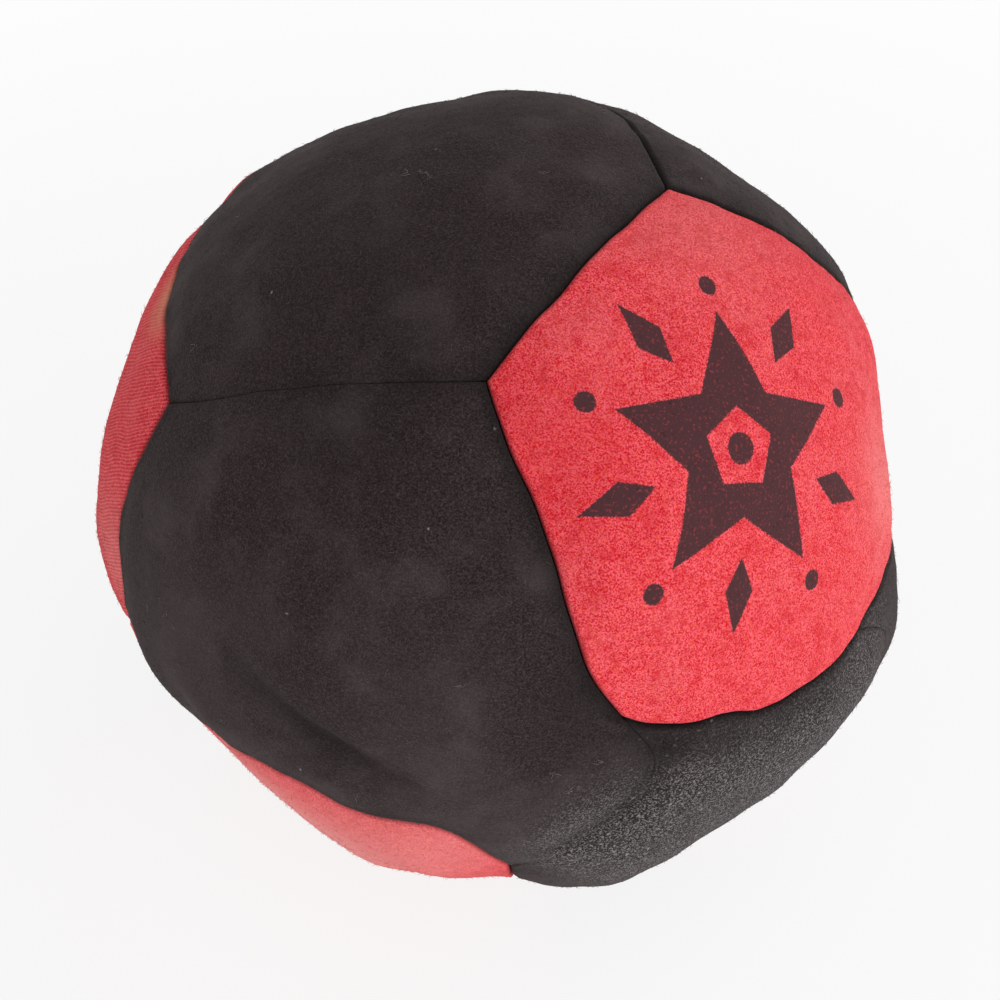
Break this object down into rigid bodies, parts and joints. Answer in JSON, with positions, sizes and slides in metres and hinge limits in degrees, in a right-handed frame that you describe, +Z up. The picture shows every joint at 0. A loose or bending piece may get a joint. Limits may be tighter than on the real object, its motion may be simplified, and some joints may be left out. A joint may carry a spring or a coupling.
{
  "type": "footbag",
  "caption": "Sand-filled kicking bag of black and red suede pentagons sewn edge to edge into a small ball, one red panel with a dark print.",
  "frame": {"origin": "the point of the rest flat straight under the bag's middle", "axes": "+Z up from the rest flat, -Y towards the front, +X to the right of someone who faces the front"},
  "size_m": [0.0522, 0.0516, 0.0492],
  "materials": {
    "black_suede": "napped charcoal suede, matt",
    "red_suede": "napped coral red suede, matt",
    "black_thread": "bonded polyester thread, matt",
    "sand": "fine dry sand"
  },
  "bodies": {
    "root": {"panel_red_front": "red_suede", "panel_black_upper_left": "black_suede", "panel_black_middle": "black_suede", "panel_black_lower": "black_suede", "panel_black_right": "black_suede", "panel_black_top": "black_suede", "panel_red_left": "red_suede", "panel_red_lower_left": "red_suede", "panel_red_base": "red_suede", "panel_red_right_back": "red_suede", "panel_red_top_back": "red_suede", "panel_black_back": "black_suede", "seam_thread_01": "black_thread", "seam_thread_02": "black_thread", "seam_thread_03": "black_thread", "seam_thread_04": "black_thread", "seam_thread_05": "black_thread", "seam_thread_06": "black_thread", "seam_thread_07": "black_thread", "seam_thread_08": "black_thread", "seam_thread_09": "black_thread", "seam_thread_10": "black_thread", "seam_thread_11": "black_thread", "seam_thread_12": "black_thread", "seam_thread_13": "black_thread", "seam_thread_14": "black_thread", "seam_thread_15": "black_thread", "seam_thread_16": "black_thread", "seam_thread_17": "black_thread", "seam_thread_18": "black_thread", "seam_thread_19": "black_thread", "seam_thread_20": "black_thread", "seam_thread_21": "black_thread", "seam_thread_22": "black_thread", "seam_thread_23": "black_thread", "seam_thread_24": "black_thread", "seam_thread_25": "black_thread", "seam_thread_26": "black_thread", "seam_thread_27": "black_thread", "seam_thread_28": "black_thread", "seam_thread_29": "black_thread", "seam_thread_30": "black_thread", "sand_filling": "sand"}
  },
  "joints": []
}
